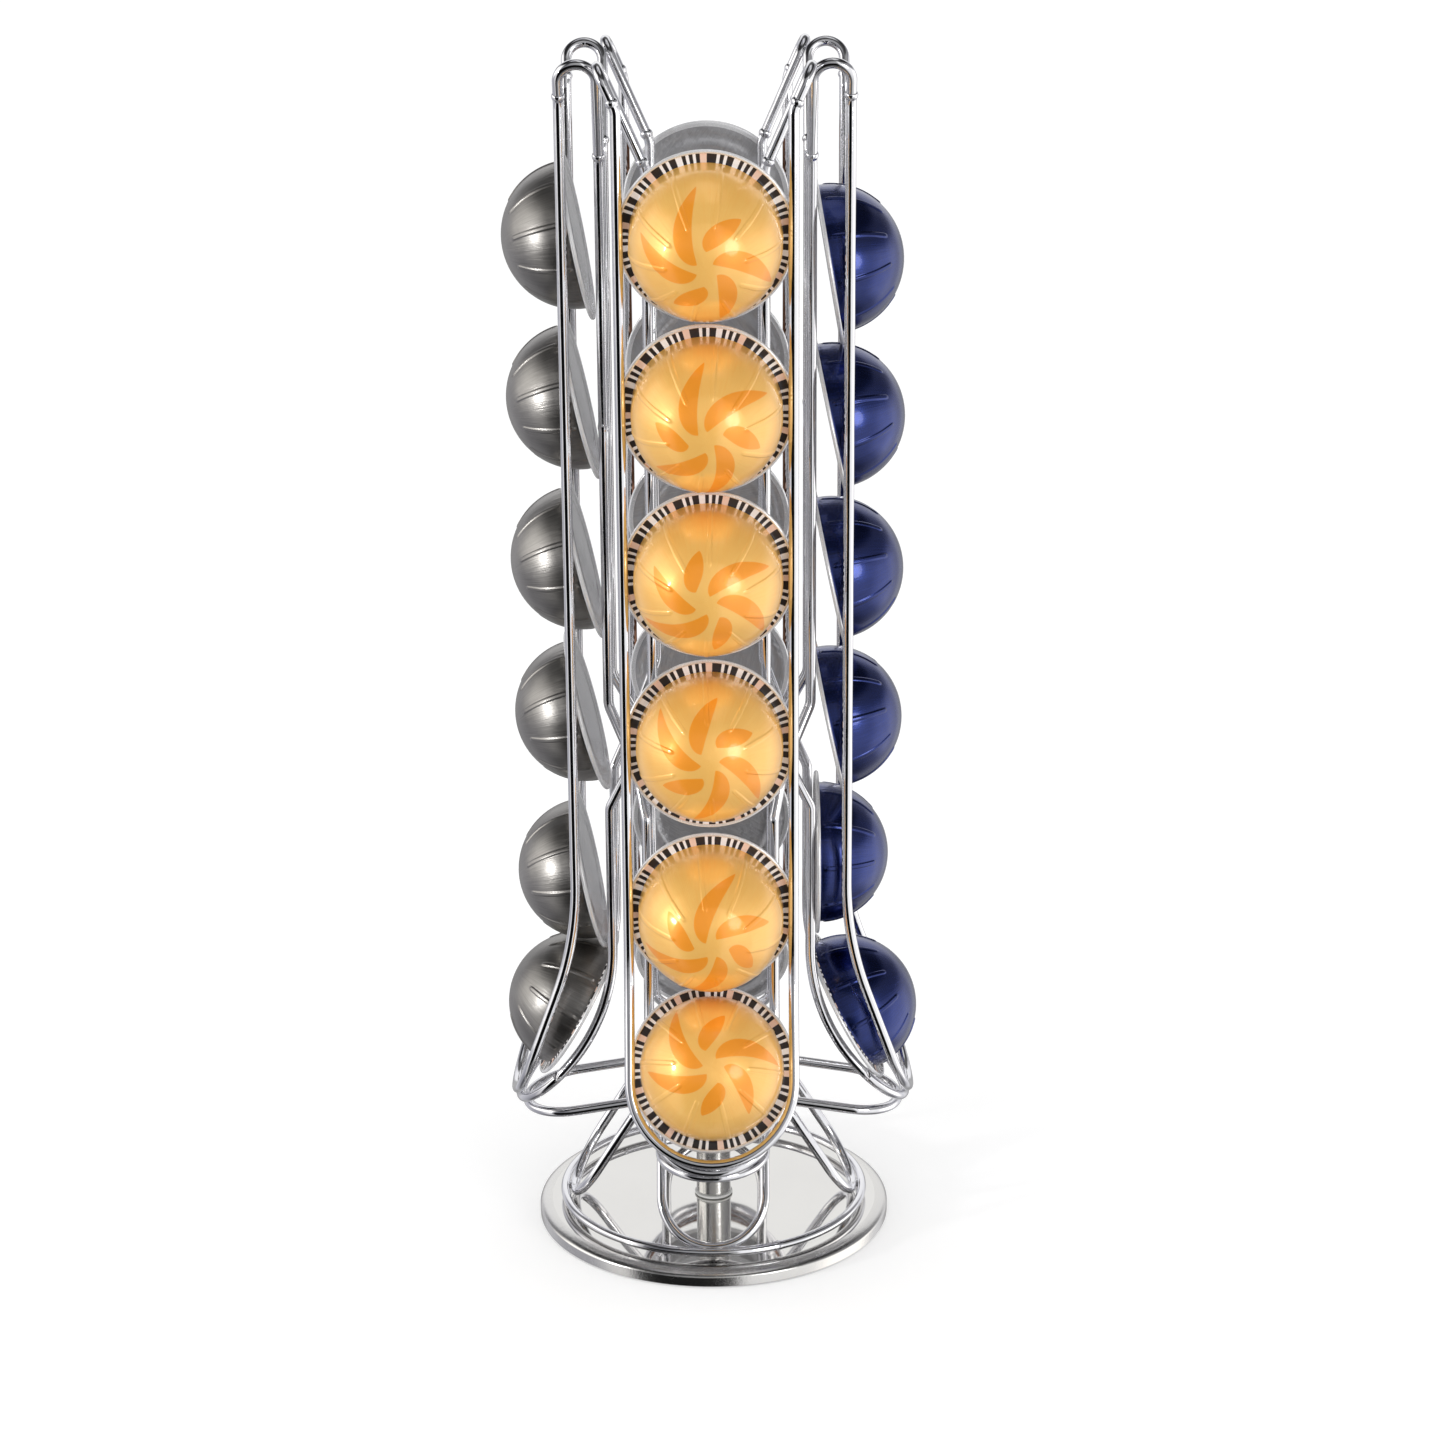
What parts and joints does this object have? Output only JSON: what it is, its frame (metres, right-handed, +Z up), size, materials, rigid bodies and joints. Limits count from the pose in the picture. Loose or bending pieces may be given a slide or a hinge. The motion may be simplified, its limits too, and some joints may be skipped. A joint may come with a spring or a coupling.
{
  "type": "rotating coffee capsule dispenser",
  "caption": "Chrome wire carousel on a round polished base that stores domed coffee capsules in upright channels and hands them out from its curved feet.",
  "frame": {"origin": "where the vertical turning axis meets the table, under the middle of the base", "axes": "+Z up along the turning axis, -Y to the front channel with the gold capsules, +X to the right channel with the blue ones"},
  "size_m": [0.1574, 0.1774, 0.4503],
  "materials": {
    "chrome_wire": "mirror",
    "polished_steel": "polished",
    "ballast_steel": "raw",
    "black_rubber": "matt",
    "white_plastic": "satin",
    "gold_shell": "satin metallic lacquer",
    "blue_shell": "glossy metallic lacquer",
    "brown_shell": "satin metallic lacquer",
    "grey_shell": "satin metallic lacquer"
  },
  "bodies": {
    "base": {"base_disc": "polished_steel", "base_ballast": "ballast_steel", "base_pad": "black_rubber", "pivot_bolt": "polished_steel", "thrust_washer": "white_plastic", "top_washer": "polished_steel", "pivot_nut": "polished_steel"},
    "carousel": {"pivot_sleeve": "polished_steel", "hub_plate": "chrome_wire", "base_ring": "chrome_wire", "side_to_side_loop": "chrome_wire", "front_to_back_loop": "chrome_wire", "front_outer_rail": "chrome_wire", "front_inner_rail": "chrome_wire", "front_left_hairpin": "chrome_wire", "front_right_hairpin": "chrome_wire", "front_foot_loop": "chrome_wire", "front_capsule_1": "gold_shell", "right_outer_rail": "chrome_wire", "right_inner_rail": "chrome_wire", "right_left_hairpin": "chrome_wire", "right_right_hairpin": "chrome_wire", "right_foot_loop": "chrome_wire", "right_capsule_1": "blue_shell", "back_outer_rail": "chrome_wire", "back_inner_rail": "chrome_wire", "back_left_hairpin": "chrome_wire", "back_right_hairpin": "chrome_wire", "back_foot_loop": "chrome_wire", "back_capsule_1": "brown_shell", "left_outer_rail": "chrome_wire", "left_inner_rail": "chrome_wire", "left_left_hairpin": "chrome_wire", "left_right_hairpin": "chrome_wire", "left_foot_loop": "chrome_wire", "left_capsule_1": "grey_shell"},
    "front_capsule_2_body": {"front_capsule_2": "gold_shell"},
    "front_capsule_3_body": {"front_capsule_3": "gold_shell"},
    "front_capsule_4_body": {"front_capsule_4": "gold_shell"},
    "front_capsule_5_body": {"front_capsule_5": "gold_shell"},
    "front_capsule_6_body": {"front_capsule_6": "gold_shell"},
    "right_capsule_2_body": {"right_capsule_2": "blue_shell"},
    "right_capsule_3_body": {"right_capsule_3": "blue_shell"},
    "right_capsule_4_body": {"right_capsule_4": "blue_shell"},
    "right_capsule_5_body": {"right_capsule_5": "blue_shell"},
    "right_capsule_6_body": {"right_capsule_6": "blue_shell"},
    "back_capsule_2_body": {"back_capsule_2": "brown_shell"},
    "back_capsule_3_body": {"back_capsule_3": "brown_shell"},
    "back_capsule_4_body": {"back_capsule_4": "brown_shell"},
    "back_capsule_5_body": {"back_capsule_5": "brown_shell"},
    "back_capsule_6_body": {"back_capsule_6": "brown_shell"},
    "left_capsule_2_body": {"left_capsule_2": "grey_shell"},
    "left_capsule_3_body": {"left_capsule_3": "grey_shell"},
    "left_capsule_4_body": {"left_capsule_4": "grey_shell"},
    "left_capsule_5_body": {"left_capsule_5": "grey_shell"},
    "left_capsule_6_body": {"left_capsule_6": "grey_shell"}
  },
  "joints": [
    {"name": "carousel_turn", "type": "hinge", "parent": "base", "child": "carousel", "pos_m": [0, 0, 0.01], "axis": [0, 0, 1], "continuous": true},
    {"name": "front_capsule_2_lift", "type": "slide", "parent": "carousel", "child": "front_capsule_2_body", "axis": [0, 0, 1], "range_m": [0, 0.3524]},
    {"name": "front_capsule_3_lift", "type": "slide", "parent": "front_capsule_2_body", "child": "front_capsule_3_body", "axis": [0, 0, 1], "range_m": [0, 0.2918]},
    {"name": "front_capsule_4_lift", "type": "slide", "parent": "front_capsule_3_body", "child": "front_capsule_4_body", "axis": [0, 0, 1], "range_m": [0, 0.2312]},
    {"name": "front_capsule_5_lift", "type": "slide", "parent": "front_capsule_4_body", "child": "front_capsule_5_body", "axis": [0, 0, 1], "range_m": [0, 0.1706]},
    {"name": "front_capsule_6_lift", "type": "slide", "parent": "front_capsule_5_body", "child": "front_capsule_6_body", "axis": [0, 0, 1], "range_m": [0, 0.11]},
    {"name": "right_capsule_2_lift", "type": "slide", "parent": "carousel", "child": "right_capsule_2_body", "axis": [0, 0, 1], "range_m": [0, 0.3524]},
    {"name": "right_capsule_3_lift", "type": "slide", "parent": "right_capsule_2_body", "child": "right_capsule_3_body", "axis": [0, 0, 1], "range_m": [0, 0.2918]},
    {"name": "right_capsule_4_lift", "type": "slide", "parent": "right_capsule_3_body", "child": "right_capsule_4_body", "axis": [0, 0, 1], "range_m": [0, 0.2312]},
    {"name": "right_capsule_5_lift", "type": "slide", "parent": "right_capsule_4_body", "child": "right_capsule_5_body", "axis": [0, 0, 1], "range_m": [0, 0.1706]},
    {"name": "right_capsule_6_lift", "type": "slide", "parent": "right_capsule_5_body", "child": "right_capsule_6_body", "axis": [0, 0, 1], "range_m": [0, 0.11]},
    {"name": "back_capsule_2_lift", "type": "slide", "parent": "carousel", "child": "back_capsule_2_body", "axis": [0, 0, 1], "range_m": [0, 0.3524]},
    {"name": "back_capsule_3_lift", "type": "slide", "parent": "back_capsule_2_body", "child": "back_capsule_3_body", "axis": [0, 0, 1], "range_m": [0, 0.2918]},
    {"name": "back_capsule_4_lift", "type": "slide", "parent": "back_capsule_3_body", "child": "back_capsule_4_body", "axis": [0, 0, 1], "range_m": [0, 0.2312]},
    {"name": "back_capsule_5_lift", "type": "slide", "parent": "back_capsule_4_body", "child": "back_capsule_5_body", "axis": [0, 0, 1], "range_m": [0, 0.1706]},
    {"name": "back_capsule_6_lift", "type": "slide", "parent": "back_capsule_5_body", "child": "back_capsule_6_body", "axis": [0, 0, 1], "range_m": [0, 0.11]},
    {"name": "left_capsule_2_lift", "type": "slide", "parent": "carousel", "child": "left_capsule_2_body", "axis": [0, 0, 1], "range_m": [0, 0.3524]},
    {"name": "left_capsule_3_lift", "type": "slide", "parent": "left_capsule_2_body", "child": "left_capsule_3_body", "axis": [0, 0, 1], "range_m": [0, 0.2918]},
    {"name": "left_capsule_4_lift", "type": "slide", "parent": "left_capsule_3_body", "child": "left_capsule_4_body", "axis": [0, 0, 1], "range_m": [0, 0.2312]},
    {"name": "left_capsule_5_lift", "type": "slide", "parent": "left_capsule_4_body", "child": "left_capsule_5_body", "axis": [0, 0, 1], "range_m": [0, 0.1706]},
    {"name": "left_capsule_6_lift", "type": "slide", "parent": "left_capsule_5_body", "child": "left_capsule_6_body", "axis": [0, 0, 1], "range_m": [0, 0.11]}
  ]
}
